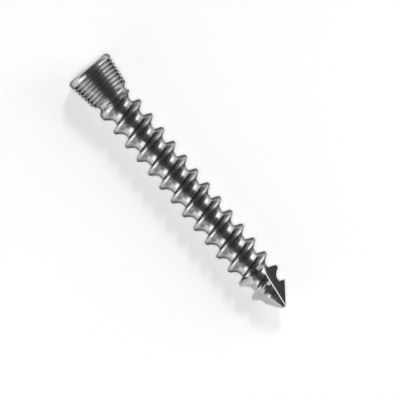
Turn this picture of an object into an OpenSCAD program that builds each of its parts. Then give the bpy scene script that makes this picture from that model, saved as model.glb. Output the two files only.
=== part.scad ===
// Locking cancellous bone screw: a threaded conical head, a necked shaft with a deep
// buttress thread and a fluted, self-tapping tip, all turned and milled from one bar.
// Lengths are millimetres. The screw is drawn upright on its tip, with Z measured from the
// blunt end of the tip towards the head, and is then laid down along X on its rim and thread.

/* [Overall] */
// Length from the flat of the head to the blunt end of the tip
overall_l = 30.2; // [22:0.2:50]

/* [Bone thread] */
// Outside diameter of the bone thread
thread_d = 4; // [3.7:0.05:4.4]
// Diameter of the core between the turns
core_d = 2.48; // [2.2:0.02:2.8]
// Advance of the bone thread in one turn
thread_pitch = 1.75; // [1.6:0.05:2.1]
// Width of the crest before its corners are eased
crest_w = 0.24; // [0.18:0.01:0.32]
// Rounding of the crest's corners, drawn as one facet each
crest_round_r = 0.08; // [0.04:0.01:0.1]
// Lean of the flank that faces the head, away from square to the axis
head_flank_deg = 20.5; // [6:0.5:24]
// Slope of the flank that faces the tip, away from the axis
tip_flank_deg = 56; // [48:1:60]
// Radius that blends the sloping flank into the core
root_r = 0.74; // [0.3:0.01:0.9]
// Plain land between the neck and the place where the groove has run out
collar_land_w = 0.45; // [0.3:0.05:0.8]

/* [Head] */
// Largest diameter of the head
head_d = 4.9; // [4.6:0.05:5.4]
// Length of the tapered head, down to the edge of the neck
head_l = 3.27; // [3:0.01:4]
// Half angle of the head's taper
head_taper_deg = 7.3; // [5:0.1:9]
// Rounding of the rim
rim_r = 0.37; // [0.2:0.01:0.45]
// Advance of the locking thread in one turn
head_pitch = 0.4; // [0.35:0.01:0.5]
// Depth of the locking thread
head_thread_h = 0.235; // [0.15:0.005:0.26]
// Width of the land along the locking thread's crest
head_crest_w = 0.05; // [0.03:0.01:0.08]
// Width of the flat at the locking thread's root
head_root_w = 0.04; // [0.02:0.01:0.06]

/* [Neck] */
// Smallest diameter of the neck
neck_d = 3.17; // [2.9:0.01:3.4]
// Radius at the bottom of the neck
neck_bottom_r = 0.35; // [0.2:0.01:0.45]
// Slope of the neck's two sides, away from the axis
neck_flare_deg = 50; // [44:1:58]

/* [Drive] */
// Width across the flats of the hexagon socket
hex_af = 2.5; // [2:0.05:2.6]
// Depth of the hexagon's flats
hex_l = 2; // [1.4:0.1:2.2]
// Diameter of the countersink at the socket's mouth
hex_mouth_d = 3; // [2.95:0.05:3.3]
// Half angle of the drill point under the hexagon
drill_half_deg = 59; // [50:1:70]

/* [Tip] */
// Half angle of the tip's cone
tip_half_deg = 37; // [30:1:45]
// Diameter of the tip's blunt end
tip_end_d = 0.4; // [0.2:0.05:0.6]
// Number of cutting flutes
flute_n = 3; // [2:1:4]
// Distance from the axis to a flute's floor at the blunt end
flute_floor = 0.11; // [0.1:0.005:0.3]
// Lean of a flute's floor away from the axis
flute_lean_deg = 7.5; // [3:0.5:10]
// Straight length of a flute's floor, measured along the axis
flute_l = 3.36; // [2.6:0.02:4.5]
// Radius of the disc that mills a flute and its run-out
flute_disc_r = 1.6; // [1.2:0.05:2]
// Distance that a cutting face stands in front of the axis, where it meets the floor
flute_face = 0.155; // [0:0.005:0.2]
// Lean of a cutting face, away from square to the floor
flute_face_deg = 9; // [0:1:15]
// Rounding where a flute's floor meets its cutting face
flute_corner_r = 0.15; // [0.05:0.01:0.2]

/* [Hidden] */

$fn = 96;
steel = "slategray";
// How far a cutter reaches past what it cuts
overrun = 0.3;
// How far the threaded rods stand out of the blank, which trims their crests true
proud = 0.03;
// Slant of what is trimmed there, which keeps its points apart where the groove runs out
proud_slant = 0.1;
// How far below the trimmed crest its eased corners start, which keeps their edges apart
land_step = 0.005;

// The bone thread has a crest at azimuth zero at every whole pitch from the blunt end, and
// a locking crest lies below the rim there. Azimuth zero points to +Y once the screw lies.
thread_r = thread_d / 2;
core_r = core_d / 2;
thread_h = thread_r - core_r;
thread_facets = 24;
head_facets = 24;
root_arc_steps = 3;
// Share of the core between the two flanks that the arc may take
arc_room_share = 0.9;
runout_turns = 0.4;
head_runout_turns = 0.7;

// Neck, measured up from the blunt end
rim_centre_r = head_d / 2 - rim_r;
head_top_z = overall_l;
rim_centre_z = head_top_z - rim_r;
rim_tangent_r = rim_centre_r + rim_r * cos(head_taper_deg);
rim_tangent_z = rim_centre_z - rim_r * sin(head_taper_deg);
head_low_z = head_top_z - head_l;
head_low_r = crest_r_of_head(head_low_z);
neck_r = neck_d / 2;
neck_side_r = neck_r + neck_bottom_r * (1 - cos(neck_flare_deg));
neck_side_dz = neck_bottom_r * sin(neck_flare_deg);
neck_z = head_low_z - (head_low_r - neck_side_r) / tan(neck_flare_deg) - neck_side_dz;
collar_z = neck_z - neck_side_dz - (thread_r - neck_side_r) / tan(neck_flare_deg);

// Where the two grooves have run out, in turns from the crest at the blunt end and from
// the locking crest under the rim
last_turn = (collar_z - collar_land_w) / thread_pitch;
head_last_turn = head_runout_turns - 1;
head_crest_z = head_top_z - rim_r - head_pitch / 4;

// Flutes
tip_end_r = tip_end_d / 2;
flute_end_z = flute_l - flute_disc_r * sin(flute_lean_deg) + flute_disc_r;

// Rest on a flat, which the rim and the lowest whole crest above the flutes both touch.
// The underside is a quarter of a turn past azimuth zero, and the roll at which it lies still.
rest_roll_deg = 17;
under_share = 0.25 + rest_roll_deg / 360;
rest_z = (ceil(flute_end_z / thread_pitch - under_share) + under_share) * thread_pitch;
rest_run = rim_centre_z - rest_z;
rest_drop = rim_centre_r - thread_r;
rest_deg = atan(rest_drop / rest_run) + asin(rim_r / norm([rest_run, rest_drop]));
rest_lift = rim_centre_r * cos(rest_deg) + rim_r - rim_centre_z * sin(rest_deg);
rest_shift = (overall_l * cos(rest_deg) + (rim_centre_r - tip_end_r) * sin(rest_deg)) / 2;

// Radius of the locking thread's crest at a height on the head's cone
function crest_r_of_head(z) = rim_tangent_r - (rim_tangent_z - z) * tan(head_taper_deg);

// Outline of one turn of the bone thread, as pairs of rise above the crest's middle and
// depth below the rod's side: an eased corner, the flank that faces the head, the core, the
// blending arc, the sloping flank and the other eased corner.
function bone_outline() =
    let (
        half = crest_w / 2,
        head_ease = crest_round_r * tan((90 - head_flank_deg) / 2),
        tip_ease = crest_round_r * tan(tip_flank_deg / 2),
        head_foot = half + thread_h * tan(head_flank_deg),
        tip_foot = thread_pitch - half - thread_h / tan(tip_flank_deg),
        reach = min(root_r * tan(tip_flank_deg / 2), (tip_foot - head_foot) * arc_room_share),
        arc_r = reach / tan(tip_flank_deg / 2)
    )
    [
        [half - head_ease - proud * proud_slant, 0],
        [half - head_ease, proud + land_step],
        [half + head_ease * sin(head_flank_deg), proud + head_ease * cos(head_flank_deg)],
        [head_foot, thread_h + proud],
        for (k = [0 : root_arc_steps])
            let (a = tip_flank_deg * k / root_arc_steps)
            [tip_foot - reach + arc_r * sin(a), thread_h + proud - arc_r * (1 - cos(a))],
        [
            thread_pitch - half - tip_ease * cos(tip_flank_deg),
            proud + tip_ease * sin(tip_flank_deg)
        ],
        [thread_pitch - half + tip_ease, proud + land_step],
        [thread_pitch - half + tip_ease + proud * proud_slant, 0]
    ];

// Outline of one turn of the locking thread, a blunt V
function head_outline() =
    let (
        side = (head_pitch - head_crest_w - head_root_w) / 2,
        root = (head_pitch - head_root_w) / 2,
        crest = head_crest_w / 2 - proud * side / head_thread_h
    )
    [
        [crest, 0],
        [root, head_thread_h + proud],
        [root + head_root_w, head_thread_h + proud],
        [head_pitch - crest, 0]
    ];

// Share of its full depth that a groove has at a turn, running out above its last turn
function groove_share(turn, last, runout) = max(0, min(1, (last - turn) / runout));

// Rod whose side is one outline carried up a right-hand helix. Each row of points stands at
// its own azimuth and is one outline tall, so its top is the foot of the row a turn later.
module helical_rod(outline, pitch, first, turns, facets, crest_r, depth_share) {
    count = len(outline);
    rows = round(turns * facets);
    point = function(i, k)
        let (
            turn = first + i / facets,
            z = turn * pitch + outline[k][0],
            r = crest_r(z) - outline[k][1] * depth_share(turn)
        )
        [r * cos(360 * turn), r * sin(360 * turn), z];
    index = function(i, k)
        k == count ? index(i + facets, 0)
        : i <= rows ? i * count + k
        : (rows + 1) * count + i - rows - 1;
    foot = (rows + 1) * count + facets;
    points = [
        for (i = [0 : rows], k = [0 : count - 1]) point(i, k),
        for (i = [rows + 1 : rows + facets]) point(i, 0),
        [0, 0, point(0, 0).z],
        [0, 0, point(rows, 0).z]
    ];
    faces = [
        for (i = [0 : rows - 1], k = [0 : count - 1]) each [
            [index(i, k), index(i, k + 1), index(i + 1, k + 1)],
            [index(i, k), index(i + 1, k + 1), index(i + 1, k)]
        ],
        for (i = [0 : facets - 1]) each [
            [foot, index(i, 0), index(i + 1, 0)],
            [foot + 1, index(rows + i + 1, 0), index(rows + i, 0)]
        ],
        for (k = [0 : count - 1]) each [
            [foot, index(0, k + 1), index(0, k)],
            [foot + 1, index(rows, k), index(rows, k + 1)]
        ]
    ];
    polyhedron(points, faces);
}

// The turned blank without its threads, between two heights
module blank(z0, z1) {
    wide = head_d / 2 + overrun;
    rotate_extrude() intersection() {
        difference() {
            union() {
                polygon([
                    [0, 0],
                    [tip_end_r, 0],
                    [thread_r, (thread_r - tip_end_r) / tan(tip_half_deg)],
                    [thread_r, neck_z],
                    [head_low_r, neck_z],
                    [head_low_r, head_low_z],
                    [rim_tangent_r, rim_tangent_z],
                    [rim_centre_r, rim_centre_z],
                    [rim_centre_r, head_top_z],
                    [0, head_top_z]
                ]);
                translate([rim_centre_r, rim_centre_z]) circle(r = rim_r);
            }
            neck_cut();
        }
        translate([0, z0]) square([wide, z1 - z0]);
    }
}

// Round-bottomed V that turns the neck between the head and the collar
module neck_cut() {
    out = head_d / 2 + overrun;
    side_dz = neck_side_dz + (out - neck_side_r) / tan(neck_flare_deg);
    translate([neck_r + neck_bottom_r, neck_z]) circle(r = neck_bottom_r);
    polygon([
        [neck_side_r, neck_z - neck_side_dz],
        [out, neck_z - side_dz],
        [out, neck_z + side_dz],
        [neck_side_r, neck_z + neck_side_dz]
    ]);
}

// Shaft with the bone thread, from the blunt end to the middle of the neck
module shaft() {
    intersection() {
        helical_rod(
            bone_outline(),
            thread_pitch,
            -1 - overrun / thread_pitch,
            neck_z / thread_pitch + 1 + 2 * overrun / thread_pitch,
            thread_facets,
            function(z) thread_r + proud,
            function(turn) groove_share(turn, last_turn, runout_turns)
        );
        blank(0, neck_z);
    }
}

// Head with its locking thread, from the middle of the neck to the top
module head() {
    first = (neck_z - overrun - head_crest_z) / head_pitch - 1;
    last = (head_top_z + overrun - head_crest_z) / head_pitch;
    intersection() {
        translate([0, 0, head_crest_z])
            helical_rod(
                head_outline(),
                head_pitch,
                first,
                last - first,
                head_facets,
                function(z) crest_r_of_head(z + head_crest_z) + proud,
                function(turn) groove_share(turn, head_last_turn, head_runout_turns)
            );
        blank(neck_z, head_top_z);
    }
}

// Hexagon socket, its countersunk mouth and the drill point under it
module drive_cut() {
    mouth_r = hex_mouth_d / 2;
    drill_r = hex_af / 2;
    translate([0, 0, head_top_z - hex_l])
        cylinder(r = hex_af / 2 / cos(30), h = hex_l + overrun, $fn = 6);
    translate([0, 0, head_top_z - mouth_r])
        cylinder(r1 = 0, r2 = mouth_r + overrun, h = mouth_r + overrun);
    translate([0, 0, head_top_z - hex_l - drill_r / tan(drill_half_deg)])
        cylinder(r1 = 0, r2 = drill_r, h = drill_r / tan(drill_half_deg));
}

// Half section of the disc that mills a flute, from its axis at x = 0 to its edge
module disc_section(edge) {
    wide = thread_r + overrun;
    translate([0, -wide]) square([edge - flute_corner_r, wide]);
    translate([0, -wide]) square([edge, wide - flute_corner_r]);
    translate([edge - flute_corner_r, -flute_corner_r]) circle(r = flute_corner_r);
}

// One flute: the straight travel of the disc off the tip, and the half disc where it stops,
// both sheared to give the cutting face its lean
module flute_cut() {
    deep = 2 * flute_disc_r + overrun;
    floor_l = flute_l / cos(flute_lean_deg);
    lean = [[1, 0, 0, 0], [tan(flute_face_deg), 1, 0, 0], [0, 0, 1, 0], [0, 0, 0, 1]];
    translate([flute_floor, -flute_face, 0]) rotate([0, flute_lean_deg, 0]) multmatrix(lean) {
        translate([deep, 0, -deep])
            linear_extrude(floor_l + deep) mirror([1, 0]) disc_section(deep);
        translate([flute_disc_r, 0, floor_l])
            rotate([-90, 0, 0]) rotate([0, 0, 180])
                rotate_extrude(angle = 180) disc_section(flute_disc_r);
    }
}

module bone_screw() {
    color(steel) laid_down() difference() {
        union() {
            shaft();
            head();
        }
        drive_cut();
        for (k = [0 : flute_n - 1])
            rotate([0, 0, 360 * k / flute_n]) flute_cut();
    }
}

// Turns what stands on its tip to lie along X with the head at -X
module laid_down() {
    translate([rest_shift, 0, rest_lift])
        rotate([0, rest_deg, 0])
            rotate([rest_roll_deg, 0, 0])
                rotate([-90, 0, 90])
                    children();
}

bone_screw();
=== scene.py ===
"""Finely turned locking bone screw, with its steel, floor, lights and camera.

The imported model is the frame. The operators build the screw as one closed surface in the
same place, and the stage round it. Sizes are in metres, as everywhere in the frame.
"""

import math
from types import SimpleNamespace
from typing import NamedTuple

import bmesh
import bpy
import numpy as np
from bpy.props import FloatProperty, FloatVectorProperty, IntProperty, PointerProperty
from mathutils import Matrix, Vector


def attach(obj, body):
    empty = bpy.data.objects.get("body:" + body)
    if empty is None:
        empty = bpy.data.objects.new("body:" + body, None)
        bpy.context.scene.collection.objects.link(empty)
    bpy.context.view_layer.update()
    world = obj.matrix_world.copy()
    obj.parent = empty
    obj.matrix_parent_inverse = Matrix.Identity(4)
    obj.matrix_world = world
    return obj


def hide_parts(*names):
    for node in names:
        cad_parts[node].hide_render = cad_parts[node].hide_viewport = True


bl_info = {
    "name": "Locking Bone Screw",
    "version": (1, 0, 0),
    "blender": (4, 5, 0),
    "location": "View3D > Sidebar > Bone Screw",
    "description": "Turned steel bone screw with threads, flutes and a hexagon socket",
    "category": "Object",
}

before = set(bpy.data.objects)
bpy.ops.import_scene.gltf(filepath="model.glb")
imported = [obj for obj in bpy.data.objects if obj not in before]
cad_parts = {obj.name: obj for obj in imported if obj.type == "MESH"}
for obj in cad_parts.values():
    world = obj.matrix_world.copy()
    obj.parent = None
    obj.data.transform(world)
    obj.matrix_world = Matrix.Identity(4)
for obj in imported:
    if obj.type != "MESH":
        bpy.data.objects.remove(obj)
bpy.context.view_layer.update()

MM = 0.001

# Points round the threads and the blank, and round the socket's mouth and drill point
ROUND_POINTS = 120
BORE_POINTS = 96
HEX_SIDES = 6
# Steps along each rounded corner or arc
BONE_STEPS = 6
LOCKING_STEPS = 4
NECK_STEPS = 12
RIM_STEPS = 13
CUTTER_STEPS = 24
CORNER_STEPS = 5
# How far a cutter passes the surface that it cuts
OVERRUN = 0.3 * MM
# How far the blank stands clear of the threads' own crests
CLEARANCE = 0.05 * MM
# The rim's arc starts this much before it meets the taper, to reach that clearance
RIM_LEAD = math.radians(4)
# A cone's apex is a ring of this radius, so that its faces stay four-cornered
APEX_R = 0.002 * MM
# Points of the threads closer than this are one
MERGE = 0.0001 * MM
# Edges that bend less than this are shaded smooth
SMOOTH_BEND = math.radians(32)


def length(name, description, millimetres):
    """Length property, given in millimetres and kept in metres."""
    return FloatProperty(
        name=name, description=description, default=millimetres * MM,
        min=0, precision=6, unit="LENGTH", subtype="DISTANCE",
    )


def angle(name, description, degrees):
    """Angle property, given in degrees and kept in radians."""
    return FloatProperty(
        name=name, description=description, default=math.radians(degrees), subtype="ANGLE"
    )


def tint(name, description, grey):
    """Linear colour property."""
    return FloatVectorProperty(
        name=name, description=description, default=grey, size=3, min=0, max=1, subtype="COLOR"
    )


def level(name, description, value):
    """Plain number without a unit."""
    return FloatProperty(name=name, description=description, default=value)


class ScrewSizes(bpy.types.PropertyGroup):
    """Sizes of the screw, as in the part's own source but where a comment says otherwise."""

    overall_l: length("Overall length", "Flat of the head to the blunt end of the tip", 30.2)
    thread_d: length("Thread diameter", "Outside diameter of the bone thread", 4)
    core_d: length("Core diameter", "Diameter between the turns of the bone thread", 2.48)
    thread_pitch: length("Thread pitch", "Advance of the bone thread in one turn", 1.75)
    crest_w: length("Crest width", "Width of the bone thread's crest before it is rounded", 0.24)
    crest_round: length("Crest rounding", "Radius along both edges of the crest", 0.08)
    head_flank: angle("Head-facing flank", "Lean away from square to the axis", 20.5)
    tip_flank: angle("Tip-facing flank", "Slope away from the axis", 56)
    root_r: length("Root radius", "Radius that blends the sloping flank into the core", 0.74)
    # The source leaves this foot sharp
    foot_r: length("Foot radius", "Radius at the foot of the steep flank", 0.07)
    collar_land_w: length("Collar land", "Plain land between neck and groove", 0.45)
    runout_turns: level("Run-out", "Turns in which the groove fades out", 0.4)

    head_d: length("Head diameter", "Largest diameter of the head", 4.9)
    head_l: length("Head length", "Length of the tapered head", 3.27)
    head_taper: angle("Head taper", "Half angle of the head's taper", 7.3)
    rim_r: length("Rim radius", "Rounding of the rim", 0.37)
    head_pitch: length("Locking pitch", "Advance of the locking thread in one turn", 0.4)
    head_thread_h: length("Locking depth", "Depth of the locking thread", 0.235)
    # The source has a slightly narrower crest, a wider root and no radii here. The root is
    # narrow in the picture because a flat one shines as the crest does.
    head_crest_w: length("Locking crest", "Width of the locking thread's crest", 0.06)
    head_root_w: length("Locking root", "Width of the locking thread's root", 0.01)
    head_root_r: length("Locking root radius", "Radius along the root's edges", 0.005)
    head_crest_r: length("Locking crest radius", "Radius along the crest's edges", 0.025)
    head_runout_turns: level("Locking run-out", "Turns in which its groove fades out", 0.7)

    neck_d: length("Neck diameter", "Smallest diameter of the neck", 3.17)
    neck_bottom_r: length("Neck radius", "Radius at the bottom of the neck", 0.35)
    neck_flare: angle("Neck slope", "Slope of the neck's sides, away from the axis", 50)

    hex_af: length("Socket width", "Width across the flats of the hexagon", 2.5)
    hex_l: length("Socket depth", "Depth of the hexagon's flats", 2)
    hex_mouth_d: length("Mouth diameter", "Diameter of the countersink at the mouth", 3)
    drill_half: angle("Drill point", "Half angle of the drill point", 59)

    tip_half: angle("Tip half angle", "Half angle of the tip's cone", 37)
    tip_end_d: length("Blunt end", "Diameter of the tip's blunt end", 0.4)
    flute_n: IntProperty(name="Flutes", description="Number of cutting flutes", default=3)
    flute_floor: length("Flute floor", "Axis to a flute's floor at the blunt end", 0.11)
    flute_lean: angle("Flute lean", "Lean of a flute's floor away from the axis", 7.5)
    flute_l: length("Flute length", "Straight length of a flute's floor", 3.36)
    flute_disc_r: length("Cutter radius", "Radius of the disc that mills a flute", 1.6)
    flute_face: length("Cutting face", "Its distance in front of the axis, at the floor", 0.155)
    flute_face_lean: angle("Cutting face lean", "Lean away from square to the floor", 9)
    flute_corner_r: length("Flute corner", "Rounding between floor and cutting face", 0.15)

    rest_roll: angle("Roll at rest", "Turn about the axis at which the screw lies still", 17)


class SteelLook(bpy.types.PropertyGroup):
    """Finish of the implant steel."""

    light_color: tint("Steel", "Reflected colour where it is brightest", (0.6, 0.605, 0.6))
    dark_color: tint("Steel, dull", "Reflected colour where it is dullest", (0.52, 0.525, 0.52))
    # Nearly black: it paints a dark rim of shade into the steel's grazing reflections along its
    # outline
    grazing_shade_tint: tint("Steel, grazing", "Tint of what a grazing view sees", (0.05, 0.05, 0.05))
    bright_roughness: level("Roughness, least", "Roughness of the best polished spots", 0.17)
    dull_roughness: level("Roughness, most", "Roughness of the dullest spots", 0.25)
    blotch_size: length("Blotch size", "Width of the duller spots that polishing leaves", 0.5)
    blotch_from: level("Blotches start", "Noise at which the steel begins to get duller", 0.35)
    blotch_full: level("Blotches full", "Noise at which it is dullest", 0.65)
    blotch_detail: level("Blotch detail", "Finer layers in the blotches", 4)
    blotch_edge: level("Blotch edge", "Strength of each finer layer", 0.6)
    mark_pitch: length("Turning marks", "Spacing of the fine marks round the axis", 0.03)
    mark_depth: length("Mark depth", "Depth of the turning marks", 0.0004)
    mark_detail: level("Mark detail", "Finer layers in the turning marks", 2)


class StageLook(bpy.types.PropertyGroup):
    """Floor, light and camera."""

    floor_color: tint("Floor", "Colour of the floor", (0.9, 0.9, 0.9))
    floor_w: length("Floor width", "Width of the floor", 4000)
    lamp_level: level("Lamp level", "Share of every lamp's radiance", 1)
    dome_dark: level("Dome, dark", "Strength of the world at the camera and past both ends", 0.07)
    dome_pale: level("Dome, pale", "Strength of the world on the screw's two sides", 0.45)
    dome_from: angle("Dome starts", "Angle from the camera at which the world gets paler", 15)
    dome_to: angle("Dome full", "Angle from the camera at which it is palest", 65)
    ends_from: level("Ends start", "Share of the way to an end at which it gets darker", 0.3)
    ends_full: level("Ends full", "Share of the way to an end at which it is darkest", 0.75)
    camera_lens: level("Lens", "Focal length in millimetres", 600)
    frame_w: length("Frame width", "Width of what the camera sees at the screw", 39.08)
    axis_lean: angle("Lean in the frame", "Screw's lean from upright in the picture", 39.49)
    aim_x: length("Aim, along", "Frame's middle along the screw", 1.83)
    aim_y: length("Aim, across", "Frame's middle across the screw", 0.292)
    clip_near: length("Nearest", "Nearest that the camera sees", 10)
    clip_far: length("Farthest", "Farthest that the camera sees", 10000)


# Shape helpers


def turned(points, angles):
    """Points of the plane, each turned about the origin by its own angle."""
    cos, sin = np.cos(angles), np.sin(angles)
    x, y = points[..., 0], points[..., 1]
    return np.stack([cos * x - sin * y, sin * x + cos * y], axis=-1)


def rounded(corners, radii, steps):
    """Outline through all corners but the first and last, each rounded by an arc.

    An arc starts where a circle of its radius touches the side before the corner, which is
    the radius times the tangent of half the turn away from it, and is cut into even steps.
    """
    corners = np.asarray(corners, float)
    sides = np.diff(corners, axis=0)
    sides /= np.linalg.norm(sides, axis=1, keepdims=True)
    before, after = sides[:-1], sides[1:]
    cross = before[:, 0] * after[:, 1] - before[:, 1] * after[:, 0]
    turn = np.arctan2(cross, np.sum(before * after, axis=1))
    radii = np.asarray(radii, float)[:, None]
    start = corners[1:-1] - before * radii * np.tan(np.abs(turn) / 2)[:, None]
    inward = turned(before, np.sign(turn) * math.pi / 2) * radii
    angles = turn[:, None] * np.linspace(0, 1, steps + 1)
    arcs = (start + inward)[:, None] - turned(inward[:, None], angles)
    return arcs.reshape(-1, 2)


def carried(points, count):
    """Faces of a tube whose outline, one row of points, is carried round in count columns.

    Row and column give a point's place in the list, and the last column meets the first.
    """
    rows = np.arange(points - 1)[:, None] * count
    here = np.arange(count)[None, :]
    there = (here + 1) % count
    return np.stack(
        [rows + here, rows + there, rows + count + there, rows + count + here], axis=-1
    ).reshape(-1, 4)


def revolved(outline, count):
    """Closed body of revolution: radius and height of each outline point, at even angles."""
    around = np.arange(count) * 2 * math.pi / count
    radius, height = outline[:, :1], outline[:, 1:]
    points = np.stack(
        [radius * np.cos(around), radius * np.sin(around), height + 0 * around], axis=-1
    ).reshape(-1, 3)
    ends = [list(range(count))[::-1], list(range(len(points) - count, len(points)))]
    return points, carried(len(outline), count).tolist() + ends


def helical_side(outline, pitch, turns, columns, crest_r, share, z0, z1, end_r):
    """Side of a threaded rod, as points and four-cornered faces.

    A point's height is pitch times turns plus its rise in the outline, and its radius is
    the crest's radius there less its depth times the groove's share of full depth. Each row
    of points climbs one pitch in a turn, and goes on as the same outline point a turn up.
    Heights are held between z0 and z1, where the rod ends in a plain ring.
    """
    count = len(outline)
    whole = np.arange(math.floor(turns[0]), math.ceil(turns[1]))
    turn = whole[:, None, None] + np.arange(columns) / columns
    height = pitch * turn + outline[None, :, :1]
    radius = crest_r(height) - outline[None, :, 1:] * share(turn)
    beyond = (height < z0) | (height > z1)
    radius = np.where(beyond, end_r, radius)
    height = np.clip(height, z0, z1)
    around = 2 * math.pi * turn
    points = np.stack([radius * np.cos(around), radius * np.sin(around), height], axis=-1)
    rows = len(whole) * count
    index = np.arange(rows * columns).reshape(rows, columns)
    a_turn_up = np.minimum(np.arange(rows) + count, rows - 1)
    index = np.concatenate([index, index[a_turn_up, :1]], axis=1)
    faces = np.stack([index[:-1, :-1], index[:-1, 1:], index[1:, 1:], index[1:, :-1]], axis=-1)
    return points.reshape(-1, 3), faces.reshape(-1, 4)


def solid(name, points, faces, merge=None):
    """Mesh object of these points and faces, with doubles merged, open rims capped and
    faces turned outwards."""
    mesh = bpy.data.meshes.new(name)
    mesh.from_pydata(points.tolist(), [], faces if isinstance(faces, list) else faces.tolist())
    work = bmesh.new()
    work.from_mesh(mesh)
    if merge:
        bmesh.ops.remove_doubles(work, verts=work.verts, dist=merge)
        bmesh.ops.dissolve_degenerate(work, edges=work.edges, dist=merge)
    bmesh.ops.holes_fill(work, edges=[e for e in work.edges if e.is_boundary], sides=0)
    bmesh.ops.recalc_face_normals(work, faces=work.faces)
    work.to_mesh(mesh)
    work.free()
    piece = bpy.data.objects.new(name, mesh)
    bpy.context.scene.collection.objects.link(piece)
    return piece


def carve(piece, other, operation):
    """Cuts piece with the other solid, keeps the result as its mesh and deletes the other."""
    step = piece.modifiers.new("Carve", "BOOLEAN")
    step.object, step.operation, step.solver = other, operation, "EXACT"
    bpy.context.view_layer.update()
    shaped = piece.evaluated_get(bpy.context.evaluated_depsgraph_get())
    mesh = bpy.data.meshes.new_from_object(shaped)
    piece.modifiers.clear()
    piece.data = mesh
    bpy.data.objects.remove(other)


# The screw, upright on its tip


def layout(size):
    """Places that follow from the sizes, measured up from the blunt end of the tip."""
    at = SimpleNamespace()
    at.thread_r, at.core_r, at.tip_end_r = size.thread_d / 2, size.core_d / 2, size.tip_end_d / 2
    at.thread_h = at.thread_r - at.core_r
    at.top_z = size.overall_l
    at.rim_centre_r, at.rim_centre_z = size.head_d / 2 - size.rim_r, at.top_z - size.rim_r
    at.rim_tangent_r = at.rim_centre_r + size.rim_r * math.cos(size.head_taper)
    at.rim_tangent_z = at.rim_centre_z - size.rim_r * math.sin(size.head_taper)
    at.head_r = lambda z: at.rim_tangent_r - (at.rim_tangent_z - z) * math.tan(size.head_taper)
    at.head_low_z = at.top_z - size.head_l
    # The neck's two sides would meet at this radius if its bottom were sharp
    at.neck_v_r = (size.neck_d / 2 + size.neck_bottom_r) - size.neck_bottom_r / math.cos(
        size.neck_flare
    )
    at.neck_slope = math.tan(size.neck_flare)
    at.neck_z = at.head_low_z - (at.head_r(at.head_low_z) - at.neck_v_r) / at.neck_slope
    at.collar_z = at.neck_z - (at.thread_r - at.neck_v_r) / at.neck_slope
    at.last_turn = (at.collar_z - size.collar_land_w) / size.thread_pitch
    at.head_crest_z = at.top_z - size.rim_r - size.head_pitch / 4
    return at


def bone_outline(size, at):
    """One turn of the bone thread: rise above the crest's middle and depth below the crest.

    From the crest's upper edge down the steep flank, along the core, round the blending arc
    and out along the sloping flank to the next crest's lower edge, with every corner an arc.
    """
    half, pitch = size.crest_w / 2, size.thread_pitch
    foot = half + at.thread_h * math.tan(size.head_flank)
    heel = pitch - half - at.thread_h / math.tan(size.tip_flank)
    corners = [
        (-half, 0), (half, 0), (foot, at.thread_h), (heel, at.thread_h),
        (pitch - half, 0), (pitch + half, 0),
    ]
    radii = [size.crest_round, size.foot_r, size.root_r, size.crest_round]
    return rounded(corners, radii, BONE_STEPS)


def head_outline(size):
    """One turn of the locking thread, an even V with a rounded crest and root."""
    pitch, half = size.head_pitch, size.head_crest_w / 2
    low, high = (pitch - size.head_root_w) / 2, (pitch + size.head_root_w) / 2
    corners = [
        (-half, 0), (half, 0), (low, size.head_thread_h), (high, size.head_thread_h),
        (pitch - half, 0), (pitch + half, 0),
    ]
    radii = [size.head_crest_r, size.head_root_r, size.head_root_r, size.head_crest_r]
    return rounded(corners, radii, LOCKING_STEPS)


def rod_side(size, at):
    """Both threads as one tube of points and faces, longer than the screw at each end."""

    def share(last, runout):
        return lambda turn: np.clip((last - turn) / runout, 0, 1)

    shaft_turns = (-OVERRUN / size.thread_pitch - 1, at.neck_z / size.thread_pitch + 1)
    shaft = helical_side(
        bone_outline(size, at), size.thread_pitch, shaft_turns, ROUND_POINTS,
        lambda z: at.thread_r + 0 * z, share(at.last_turn, size.runout_turns),
        -OVERRUN, at.neck_z, at.thread_r,
    )
    start = at.head_crest_z
    low, high = at.neck_z - start, at.top_z + OVERRUN - start
    head = helical_side(
        head_outline(size), size.head_pitch,
        (low / size.head_pitch - 1, high / size.head_pitch + 1), ROUND_POINTS,
        lambda z: at.head_r(z + start), share(size.head_runout_turns - 1, size.head_runout_turns),
        low, high, at.thread_r,
    )
    head[0][:, 2] += start
    points = np.concatenate([shaft[0], head[0]])
    return points, np.concatenate([shaft[1], head[1] + len(shaft[0])])


def blank_outline(size, at):
    """Turned blank's half section: cone, shaft, neck, head and rim.

    Where the threads' own crests are the outside it stands clear of them.
    """
    out_r = at.thread_r + CLEARANCE
    low_r = at.head_r(at.head_low_z) + CLEARANCE
    cone_top = (out_r, (out_r - at.tip_end_r) / math.tan(size.tip_half))
    neck_foot = (out_r, at.neck_z - (out_r - at.neck_v_r) / at.neck_slope)
    neck_top = (low_r, at.neck_z + (low_r - at.neck_v_r) / at.neck_slope)
    neck = rounded(
        [neck_foot, (at.neck_v_r, at.neck_z), neck_top], [size.neck_bottom_r], NECK_STEPS
    )
    sweep = np.linspace(-size.head_taper - RIM_LEAD, math.pi / 2, RIM_STEPS + 1)
    rim_r = at.rim_centre_r + size.rim_r * np.cos(sweep)
    rim_z = at.rim_centre_z + size.rim_r * np.sin(sweep)
    taper_top = (at.rim_tangent_r + CLEARANCE, rim_z[0])
    return np.concatenate([
        [(at.tip_end_r, 0), cone_top, neck_foot],
        neck,
        [neck_top, taper_top],
        np.stack([rim_r, rim_z], axis=-1),
    ])


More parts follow.
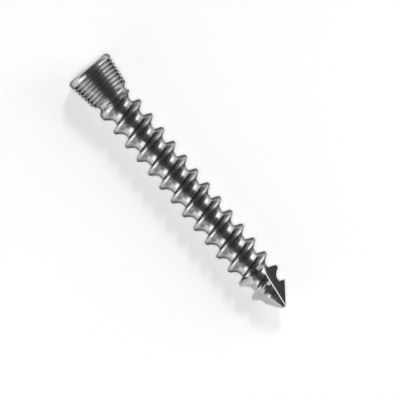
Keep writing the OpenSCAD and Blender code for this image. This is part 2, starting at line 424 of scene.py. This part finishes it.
def socket_outlines(size, at):
    """Half sections that cut the socket, each with its number of sides.

    The hexagon's corner radius is half its width across the flats divided by the cosine of
    half a side's angle. The mouth is a cone of 45 degrees, and the drill point is one of
    its own half angle, as wide as the flats are apart.
    """
    corner_r = size.hex_af / 2 / math.cos(math.pi / HEX_SIDES)
    drill_r, mouth_r = size.hex_af / 2, size.hex_mouth_d / 2
    floor_z, above_z = at.top_z - size.hex_l, at.top_z + OVERRUN
    point_z = floor_z - (drill_r - APEX_R) / math.tan(size.drill_half)
    hexagon = [(corner_r, floor_z), (corner_r, above_z)]
    mouth = [(APEX_R, at.top_z - mouth_r + APEX_R), (mouth_r + OVERRUN, above_z)]
    drill = [(APEX_R, point_z), (drill_r, floor_z), (drill_r, floor_z + OVERRUN)]
    return (hexagon, HEX_SIDES), (mouth, BORE_POINTS), (drill, BORE_POINTS)


def flute_cutter(size, at, number):
    """Body that one milled flute takes away.

    The disc's edge draws the outline: up the floor, then round the half circle where the
    disc stops. Layers of that outline draw in by a quarter circle to the cutting face,
    which gives the rounded corner. The whole is leaned, moved out and turned into place.
    """
    disc, far, wide = size.flute_disc_r, 2 * size.flute_disc_r + OVERRUN, at.thread_r + OVERRUN
    rise = size.flute_l / math.cos(size.flute_lean)
    bend = np.linspace(math.pi, 0, CUTTER_STEPS + 1)
    arc = np.stack([disc + disc * np.cos(bend), rise + disc * np.sin(bend)], axis=-1)
    inward = np.stack([-np.cos(bend), -np.sin(bend)], axis=-1)
    outline = np.concatenate([[(0, -far)], arc, [(far, rise), (far, -far)]])
    draw = np.concatenate([[(1, 0)], inward, [(0, 0), (0, 0)]])
    quarter = np.linspace(0, math.pi / 2, CORNER_STEPS + 1)
    inset = np.concatenate([[0], size.flute_corner_r * (1 - np.cos(quarter))])
    depth = np.concatenate([[-wide], size.flute_corner_r * (np.sin(quarter) - 1)])
    flat = outline[None] + draw[None] * inset[:, None, None]
    depth = depth[:, None] + flat[..., 0] * math.tan(size.flute_face_lean)
    points = np.stack([flat[..., 0], depth, flat[..., 1]], axis=-1).reshape(-1, 3)
    lean = np.array(Matrix.Rotation(size.flute_lean, 3, "Y"))
    turn = 2 * math.pi * number / size.flute_n
    place = np.array(Matrix.Rotation(turn, 3, "Z"))
    points = (points @ lean.T + (size.flute_floor, -size.flute_face, 0)) @ place.T
    count = len(outline)
    ends = [list(range(count)), list(range(len(points) - count, len(points)))]
    return points, carried(len(inset), count).tolist() + ends


def laid_down(size, at):
    """Matrix that lays the upright screw along X, head at -X, on its rim and its thread.

    The dip lets a flat touch both the rim's circle and the lowest whole crest.
    """
    flute_end = size.flute_l + size.flute_disc_r * (1 - math.sin(size.flute_lean))
    # Share of a turn by which a crest has climbed where it faces the floor
    under = (math.pi / 2 + size.rest_roll) / (2 * math.pi)
    touch_z = (math.ceil(flute_end / size.thread_pitch - under) + under) * size.thread_pitch
    run, drop = at.rim_centre_z - touch_z, at.rim_centre_r - at.thread_r
    dip = math.atan(drop / run) + math.asin(size.rim_r / math.hypot(run, drop))
    lift = at.rim_centre_r * math.cos(dip) + size.rim_r - at.rim_centre_z * math.sin(dip)
    shift = (at.top_z * math.cos(dip) + (at.rim_centre_r - at.tip_end_r) * math.sin(dip)) / 2
    return (
        Matrix.Translation((shift, 0, lift))
        @ Matrix.Rotation(dip, 4, "Y")
        @ Matrix.Rotation(size.rest_roll, 4, "X")
        @ Matrix.Rotation(math.pi / 2, 4, "Z")
        @ Matrix.Rotation(-math.pi / 2, 4, "X")
    )


# Finish


def node(tree, kind, place, **values):
    """Adds a node and sets its properties, or its inputs where the name is an input's."""
    made = tree.nodes.new(kind)
    made.location = place
    for key, value in values.items():
        if hasattr(made, key):
            setattr(made, key, value)
        else:
            made.inputs[key.replace("_", " ")].default_value = value
    return made


def color_socket(sockets, name):
    """Socket of this name that carries a colour, where others of the name carry numbers."""
    return next(socket for socket in sockets if socket.name == name and socket.type == "RGBA")


def implant_steel(look):
    """Turned and electropolished steel.

    Fine marks run round the axis, and polishing has left slightly duller blotches.
    """
    material = bpy.data.materials.new("implant_steel")
    material.use_nodes = True
    tree = material.node_tree
    shader = tree.nodes["Principled BSDF"]
    shader.inputs["Metallic"].default_value = 1
    # The nearly black grazing tint paints dark shade into the reflections along the outline
    shader.inputs["Specular Tint"].default_value = (*look.grazing_shade_tint, 1)
    place = node(tree, "ShaderNodeTexCoord", (-1100, 0))

    blotch = node(
        tree, "ShaderNodeTexNoise", (-800, 0), Scale=1 / look.blotch_size,
        Detail=look.blotch_detail, Roughness=look.blotch_edge,
    )
    tree.links.new(place.outputs["Object"], blotch.inputs["Vector"])
    dull = node(
        tree, "ShaderNodeMapRange", (-620, 0), From_Min=look.blotch_from,
        From_Max=look.blotch_full,
    )
    tree.links.new(blotch.outputs["Fac"], dull.inputs["Value"])
    color = node(tree, "ShaderNodeMix", (-450, 200), data_type="RGBA")
    color_socket(color.inputs, "A").default_value = (*look.light_color, 1)
    color_socket(color.inputs, "B").default_value = (*look.dark_color, 1)
    tree.links.new(dull.outputs["Result"], color.inputs["Factor"])
    tree.links.new(color_socket(color.outputs, "Result"), shader.inputs["Base Color"])
    rough = node(
        tree, "ShaderNodeMapRange", (-450, -50), To_Min=look.bright_roughness,
        To_Max=look.dull_roughness,
    )
    tree.links.new(dull.outputs["Result"], rough.inputs["Value"])
    tree.links.new(rough.outputs["Result"], shader.inputs["Roughness"])

    along = node(tree, "ShaderNodeSeparateXYZ", (-900, -300))
    tree.links.new(place.outputs["Object"], along.inputs["Vector"])
    marks = node(
        tree, "ShaderNodeTexNoise", (-700, -300), noise_dimensions="1D",
        Scale=1 / look.mark_pitch, Detail=look.mark_detail,
    )
    tree.links.new(along.outputs["X"], marks.inputs["W"])
    bump = node(tree, "ShaderNodeBump", (-450, -300), Distance=look.mark_depth)
    tree.links.new(marks.outputs["Fac"], bump.inputs["Height"])
    tree.links.new(bump.outputs["Normal"], shader.inputs["Normal"])
    return material


class BONESCREW_OT_screw(bpy.types.Operator):
    """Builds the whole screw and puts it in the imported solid's place"""

    bl_idname = "bonescrew.screw"
    bl_label = "Bone Screw"

    def execute(self, context):
        size = context.scene.bone_screw_sizes
        at = layout(size)
        blank = solid("blank", *revolved(blank_outline(size, at), ROUND_POINTS))
        for number in range(size.flute_n):
            carve(blank, solid("flute", *flute_cutter(size, at, number)), "DIFFERENCE")
        for outline, sides in socket_outlines(size, at):
            carve(blank, solid("socket", *revolved(np.array(outline), sides)), "DIFFERENCE")
        screw = solid("screw_body", *rod_side(size, at), merge=MERGE)
        carve(screw, blank, "INTERSECT")
        screw.data.transform(laid_down(size, at))
        screw.data.shade_smooth()
        screw.data.set_sharp_from_angle(angle=SMOOTH_BEND)
        screw.data.materials.clear()
        screw.data.materials.append(implant_steel(context.scene.bone_screw_steel))
        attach(screw, "root")
        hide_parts("bone_screw")
        return {"FINISHED"}


# Stage


class Lamp(NamedTuple):
    """Rectangular softbox that faces the screw's axis.

    It stands at side degrees round the screw, from the camera's direction to the right,
    and its middle is moved by shift metres towards the tip. Its distance, width and length
    are in metres too. A radiance of 1 would show as white, and in_steel says whether the
    steel mirrors the lamp.
    """

    side: float
    shift: float
    distance: float
    width: float
    length: float
    radiance: float
    in_steel: bool


# Each far softbox carries the near one of its side on towards the tip, at another level
LAMPS = {
    "left_softbox": Lamp(-52, 0, 0.12, 0.1, 0.05, 1.35, True),
    "left_far_softbox": Lamp(-52, 0.07, 0.12, 0.1, 0.09, 0.28, True),
    "right_softbox": Lamp(78, 0, 0.12, 0.115, 0.02, 0.3, True),
    "right_far_softbox": Lamp(78, 0.047, 0.12, 0.115, 0.074, 1.5, True),
    "floor_light": Lamp(0, 0, 0.6, 0.12, 0.12, 52, False),
    "shadow_light": Lamp(50, -0.35, 0.6, 0.15, 0.15, 18, False),
}


def viewpoint(size, at):
    """Matrix from the camera's own axes, with no lean, to the frame's.

    Its Z points from the screw to the camera, and its Y from the tip to the head. Turning
    the view round the screw by the roll at rest keeps two flutes in sight, as in the photo.
    """
    lay = laid_down(size, at)
    tip, top = lay @ Vector((0, 0, 0)), lay @ Vector((0, 0, at.top_z))
    roll = Matrix.Rotation(size.rest_roll, 4, tip - top)
    upright = Matrix(((0, -1, 0), (1, 0, 0), (0, 0, 1))).to_4x4()
    return Matrix.Translation(tip) @ roll @ Matrix.Translation(-tip) @ upright


def softbox(name, lamp, view, target, lamp_level):
    """Area lamp of even radiance, its length along the screw."""
    data = bpy.data.lights.new(name, "AREA")
    data.shape = "RECTANGLE"
    data.size, data.size_y = lamp.width, lamp.length
    # An area lamp of one watt and one square metre has a radiance of one over pi
    data.energy = lamp.radiance * lamp_level * math.pi * lamp.width * lamp.length
    piece = bpy.data.objects.new(name, data)
    bpy.context.scene.collection.objects.link(piece)
    axes = view.to_3x3().to_4x4() @ Matrix.Rotation(math.radians(lamp.side), 4, "Y")
    place = Matrix.Translation((0, -lamp.shift, lamp.distance))
    piece.matrix_world = Matrix.Translation(target) @ axes @ place
    piece.visible_camera = False
    piece.visible_glossy = lamp.in_steel
    return piece


def pale_floor(look):
    """Matt white table top."""
    half = look.floor_w / 2
    corners = [(-half, -half, 0), (half, -half, 0), (half, half, 0), (-half, half, 0)]
    mesh = bpy.data.meshes.new("floor")
    mesh.from_pydata(corners, [], [(0, 1, 2, 3)])
    floor = bpy.data.objects.new("floor", mesh)
    bpy.context.scene.collection.objects.link(floor)
    material = bpy.data.materials.new("pale_floor")
    material.use_nodes = True
    shader = material.node_tree.nodes["Principled BSDF"]
    shader.inputs["Base Color"].default_value = (*look.floor_color, 1)
    shader.inputs["Roughness"].default_value = 1
    shader.inputs["Specular IOR Level"].default_value = 0
    mesh.materials.append(material)


def light_dome(look, toward_camera):
    """World that is pale on the screw's two sides, and dark where the camera and its two
    ends are, so that the steel shows broad bands along its length."""
    world = bpy.data.worlds.new("light_dome")
    world.use_nodes = True
    tree = world.node_tree
    back = tree.nodes["Background"]
    where = node(tree, "ShaderNodeTexCoord", (-1100, 0))
    facing = node(tree, "ShaderNodeVectorMath", (-900, 100), operation="DOT_PRODUCT")
    facing.inputs[1].default_value = toward_camera
    tree.links.new(where.outputs["Generated"], facing.inputs[0])
    aside = node(
        tree, "ShaderNodeMapRange", (-700, 100), interpolation_type="SMOOTHSTEP",
        From_Min=math.cos(look.dome_to), From_Max=math.cos(look.dome_from), To_Min=1.0,
        To_Max=0.0,
    )
    tree.links.new(facing.outputs["Value"], aside.inputs["Value"])
    split = node(tree, "ShaderNodeSeparateXYZ", (-900, -150))
    tree.links.new(where.outputs["Generated"], split.inputs["Vector"])
    along = node(tree, "ShaderNodeMath", (-700, -150), operation="ABSOLUTE")
    tree.links.new(split.outputs["X"], along.inputs[0])
    across = node(
        tree, "ShaderNodeMapRange", (-500, -150), interpolation_type="SMOOTHSTEP",
        From_Min=look.ends_from, From_Max=look.ends_full, To_Min=1.0, To_Max=0.0,
    )
    tree.links.new(along.outputs[0], across.inputs["Value"])
    both = node(tree, "ShaderNodeMath", (-300, 0), operation="MULTIPLY")
    tree.links.new(aside.outputs["Result"], both.inputs[0])
    tree.links.new(across.outputs["Result"], both.inputs[1])
    strength = node(
        tree, "ShaderNodeMapRange", (-150, 0), To_Min=look.dome_dark, To_Max=look.dome_pale,
    )
    tree.links.new(both.outputs[0], strength.inputs["Value"])
    tree.links.new(strength.outputs["Result"], back.inputs["Strength"])
    back.inputs["Color"].default_value = (1, 1, 1, 1)
    return world


class BONESCREW_OT_stage(bpy.types.Operator):
    """Builds the pale floor, the soft lights, the world and the camera"""

    bl_idname = "bonescrew.stage"
    bl_label = "Stage"

    def execute(self, context):
        scene = context.scene
        look, size = scene.bone_screw_stage, scene.bone_screw_sizes
        at = layout(size)
        view = viewpoint(size, at)
        pale_floor(look)
        scene.world = light_dome(look, view.to_3x3() @ Vector((0, 0, 1)))
        middle = laid_down(size, at) @ Vector((0, 0, at.top_z / 2))
        for name, lamp in LAMPS.items():
            softbox(name, lamp, view, middle, look.lamp_level)

        data = bpy.data.cameras.new("camera")
        data.lens = look.camera_lens
        data.clip_start, data.clip_end = look.clip_near, look.clip_far
        camera = bpy.data.objects.new("camera", data)
        scene.collection.objects.link(camera)
        # The lens looks straight down on the picture's middle before the view is turned
        distance = look.camera_lens / data.sensor_width * look.frame_w
        aim = Vector((look.aim_y, -look.aim_x, at.rim_centre_r + distance))
        lean = Matrix.Rotation(-look.axis_lean, 4, "Z")
        camera.matrix_world = view @ Matrix.Translation(aim) @ lean
        scene.camera = camera
        scene.view_settings.view_transform = "Standard"
        return {"FINISHED"}


class BONESCREW_PT_panel(bpy.types.Panel):
    """Lists the steps and what a user can change"""

    bl_idname = "BONESCREW_PT_panel"
    bl_label = "Bone Screw"
    bl_space_type = "VIEW_3D"
    bl_region_type = "UI"
    bl_category = "Bone Screw"

    def draw(self, context):
        scene = context.scene
        for step in (BONESCREW_OT_screw, BONESCREW_OT_stage):
            self.layout.operator(step.bl_idname)
        for group in (scene.bone_screw_sizes, scene.bone_screw_steel, scene.bone_screw_stage):
            column = self.layout.column()
            for key in group.__annotations__:
                column.prop(group, key)


CLASSES = (
    ScrewSizes, SteelLook, StageLook, BONESCREW_OT_screw, BONESCREW_OT_stage, BONESCREW_PT_panel,
)


def register():
    """Adds the classes and their values on the scene."""
    for item in CLASSES:
        bpy.utils.register_class(item)
    bpy.types.Scene.bone_screw_sizes = PointerProperty(type=ScrewSizes)
    bpy.types.Scene.bone_screw_steel = PointerProperty(type=SteelLook)
    bpy.types.Scene.bone_screw_stage = PointerProperty(type=StageLook)


def unregister():
    """Takes them away again."""
    for key in ("bone_screw_stage", "bone_screw_steel", "bone_screw_sizes"):
        delattr(bpy.types.Scene, key)
    for item in reversed(CLASSES):
        bpy.utils.unregister_class(item)


def main():
    """Builds everything."""
    register()
    bpy.ops.bonescrew.screw()
    bpy.ops.bonescrew.stage()


if __name__ == "__main__":
    main()
